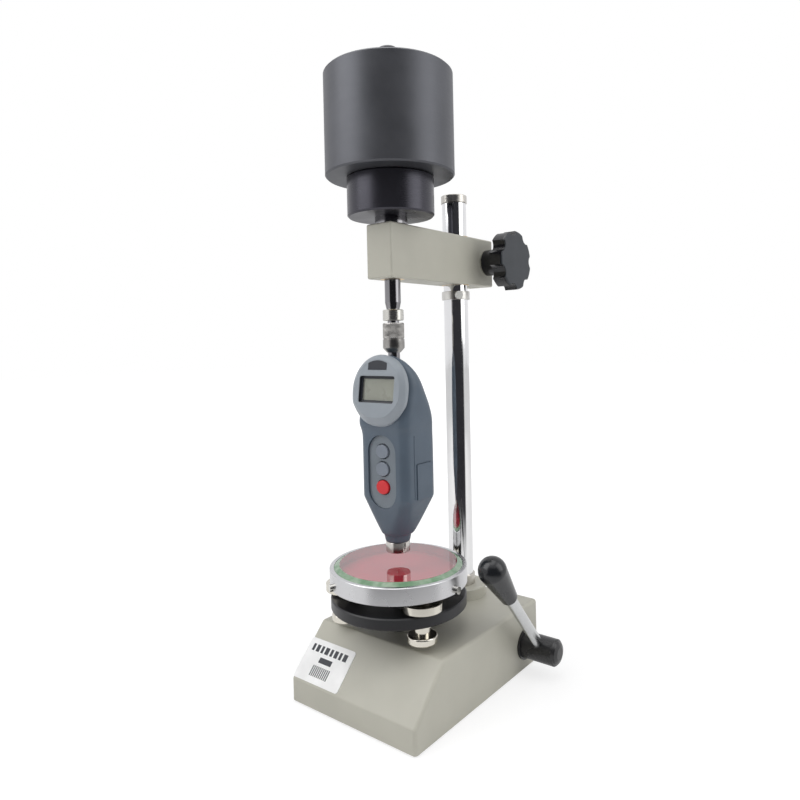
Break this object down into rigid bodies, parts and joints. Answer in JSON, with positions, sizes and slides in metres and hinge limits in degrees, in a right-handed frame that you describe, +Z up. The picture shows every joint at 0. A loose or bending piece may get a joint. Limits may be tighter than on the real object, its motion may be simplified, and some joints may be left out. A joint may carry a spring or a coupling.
{
  "type": "hardness tester",
  "caption": "Durometer on a lever-operated load stand: cast base, column, clamped arm, dead weights on a spindle, digital durometer and a raised glass table.",
  "frame": {"origin": "middle of the base's footprint, on the surface that the feet stand on", "axes": "+Z up, +Y towards the column, +X towards the hand lever; the display faces -Y"},
  "size_m": [0.1455, 0.1897, 0.4755],
  "materials": {
    "stand_paint": "hammered beige paint",
    "cover_steel": "grey paint",
    "screw_steel": "zinc plated",
    "foot_rubber": "matte",
    "column_chrome": "hard chrome",
    "cap_nickel": "dull nickel",
    "collar_steel": "dull steel",
    "bush_brass": "turned",
    "label_plastic": "printed film",
    "shaft_steel": "ground",
    "hub_black": "black",
    "rod_chrome": "polished",
    "grip_plastic": "black, polished",
    "disc_black": "black, satin",
    "level_nickel": "nickel plated",
    "tray_aluminium": "turned",
    "ring_chrome": "polished",
    "backing_red": "red sheet",
    "platen_glass": "clear with a green edge",
    "stop_steel": "turned",
    "knob_plastic": "black, satin",
    "spindle_chrome": "polished",
    "weight_steel": "black oxide",
    "top_knob_chrome": "polished",
    "sleeve_nickel": "knurled nickel",
    "housing_plastic": "blue grey",
    "bezel_plastic": "light grey",
    "badge_black": "blank",
    "lcd_grey": "blank display",
    "window_glass": "clear",
    "keypad_plastic": "blue grey",
    "button_grey": "satin",
    "button_red": "red, satin",
    "foot_nickel": "nickel plated",
    "spring_steel": "wire"
  },
  "bodies": {
    "stand": {"base_casting": "stand_paint", "base_cover": "cover_steel", "cover_screws": "screw_steel", "rubber_feet": "foot_rubber", "column": "column_chrome", "column_cap": "cap_nickel", "column_boss": "stand_paint", "column_collar": "collar_steel", "column_bolt": "screw_steel", "stem_bush": "bush_brass", "shaft_bushes": "bush_brass", "label_plate": "label_plastic"},
    "lever": {"lever_shaft": "shaft_steel", "pinion": "shaft_steel", "lever_hub": "hub_black", "lever_rod": "rod_chrome", "lever_grip": "grip_plastic"},
    "lift": {"lift_stem": "shaft_steel", "rack_yoke": "shaft_steel", "level_disc": "disc_black", "level_bushes": "level_nickel"},
    "tray": {"tray_plate": "tray_aluminium", "platen_ring": "ring_chrome", "platen_backing": "backing_red", "platen_glass": "platen_glass", "ring_screws": "screw_steel"},
    "level_1": {"level_screw_1": "level_nickel", "level_knob_1": "level_nickel"},
    "level_2": {"level_screw_2": "level_nickel", "level_knob_2": "level_nickel"},
    "level_3": {"level_screw_3": "level_nickel", "level_knob_3": "level_nickel"},
    "stop": {"stop_ring": "stop_steel", "stop_screw": "screw_steel"},
    "liner": {"arm_liner": "bush_brass"},
    "arm": {"arm": "stand_paint", "spindle_bush": "bush_brass"},
    "clamp": {"clamp_washer": "screw_steel", "clamp_stud": "screw_steel", "clamp_knob": "knob_plastic"},
    "spindle": {"spindle": "spindle_chrome", "duro_stub": "spindle_chrome", "duro_housing": "housing_plastic", "duro_bezel": "bezel_plastic", "badge_plate": "badge_black", "lcd_panel": "lcd_grey", "lcd_window": "window_glass", "keypad_panel": "keypad_plastic", "side_cover": "housing_plastic", "presser_foot": "foot_nickel", "indenter_spring": "spring_steel"},
    "indenter": {"indenter": "screw_steel"},
    "lock_ring": {"lock_ring": "sleeve_nickel"},
    "sleeve": {"coupling_sleeve": "sleeve_nickel"},
    "small_weight": {"small_weight": "weight_steel"},
    "main_weight": {"main_weight": "weight_steel", "weight_knob": "top_knob_chrome"},
    "button_top": {"button_top": "button_grey"},
    "button_middle": {"button_middle": "button_grey"},
    "button_low": {"button_low": "button_red"}
  },
  "joints": [
    {"name": "lift_slide", "type": "slide", "parent": "stand", "child": "lift", "axis": [0, 0, 1], "range_m": [0, 0.005]},
    {"name": "lever_turn", "type": "hinge", "parent": "stand", "child": "lever", "pos_m": [0.0575, 0.0584, 0.0203], "axis": [1, 0, 0], "range_deg": [0, 32]},
    {"name": "tray_level", "type": "slide", "parent": "lift", "child": "tray", "axis": [0, 0, 1], "range_m": [-0.001, 0.001]},
    {"name": "level_screw_1_turn", "type": "hinge", "parent": "tray", "child": "level_1", "pos_m": [0.03564, -0.04316, 0.07], "axis": [0, 0, 1], "range_deg": [-300, 300]},
    {"name": "level_screw_2_turn", "type": "hinge", "parent": "tray", "child": "level_2", "pos_m": [-0.00209, 0.01494, 0.07], "axis": [0, 0, 1], "range_deg": [-300, 300]},
    {"name": "level_screw_3_turn", "type": "hinge", "parent": "tray", "child": "level_3", "pos_m": [-0.03355, -0.04679, 0.07], "axis": [0, 0, 1], "range_deg": [-300, 300]},
    {"name": "stop_ring_height", "type": "slide", "parent": "stand", "child": "stop", "axis": [0, 0, 1], "range_m": [-0.15, 0.004]},
    {"name": "arm_height", "type": "slide", "parent": "stand", "child": "liner", "axis": [0, 0, 1], "range_m": [-0.005, 0.025]},
    {"name": "arm_swivel", "type": "hinge", "parent": "liner", "child": "arm", "pos_m": [0, 0.056, 0.326], "axis": [0, 0, 1], "range_deg": [-60, 30]},
    {"name": "clamp_knob_turn", "type": "hinge", "parent": "arm", "child": "clamp", "pos_m": [0.012, 0.086, 0.326], "axis": [1, 0, 0], "range_deg": [-360, 0]},
    {"name": "spindle_slide", "type": "slide", "parent": "arm", "child": "spindle", "axis": [0, 0, 1], "range_m": [0, 0.008]},
    {"name": "lock_ring_turn", "type": "hinge", "parent": "spindle", "child": "lock_ring", "pos_m": [0, -0.025, 0.28], "axis": [0, 0, 1], "range_deg": [-360, 360]},
    {"name": "sleeve_turn", "type": "hinge", "parent": "spindle", "child": "sleeve", "pos_m": [0, -0.025, 0.265], "axis": [0, 0, 1], "range_deg": [-360, 360]},
    {"name": "small_weight_lift", "type": "slide", "parent": "spindle", "child": "small_weight", "axis": [0, 0, 1], "range_m": [0, 0.06]},
    {"name": "main_weight_lift", "type": "slide", "parent": "small_weight", "child": "main_weight", "axis": [0, 0, 1], "range_m": [0, 0.06]},
    {"name": "indenter_press", "type": "slide", "parent": "spindle", "child": "indenter", "axis": [0, 0, 1], "range_m": [0, 0.0024], "stiffness_N_per_m": 17800, "deforming": ["indenter_spring"]},
    {"name": "button_top_press", "type": "slide", "parent": "spindle", "child": "button_top", "axis": [0, 1, 0], "range_m": [0, 0.0008], "stiffness_N_per_m": 500},
    {"name": "button_middle_press", "type": "slide", "parent": "spindle", "child": "button_middle", "axis": [0, 1, 0], "range_m": [0, 0.0008], "stiffness_N_per_m": 500},
    {"name": "button_low_press", "type": "slide", "parent": "spindle", "child": "button_low", "axis": [0, 1, 0], "range_m": [0, 0.0008], "stiffness_N_per_m": 500}
  ],
  "couplings": [
    {"joint": "lever_turn", "follows": "lift_slide", "rad_per_m": 111.11},
    {"joint": "level_screw_1_turn", "follows": "tray_level", "rad_per_m": 5026.5},
    {"joint": "level_screw_2_turn", "follows": "tray_level", "rad_per_m": 5026.5},
    {"joint": "level_screw_3_turn", "follows": "tray_level", "rad_per_m": 5026.5}
  ]
}
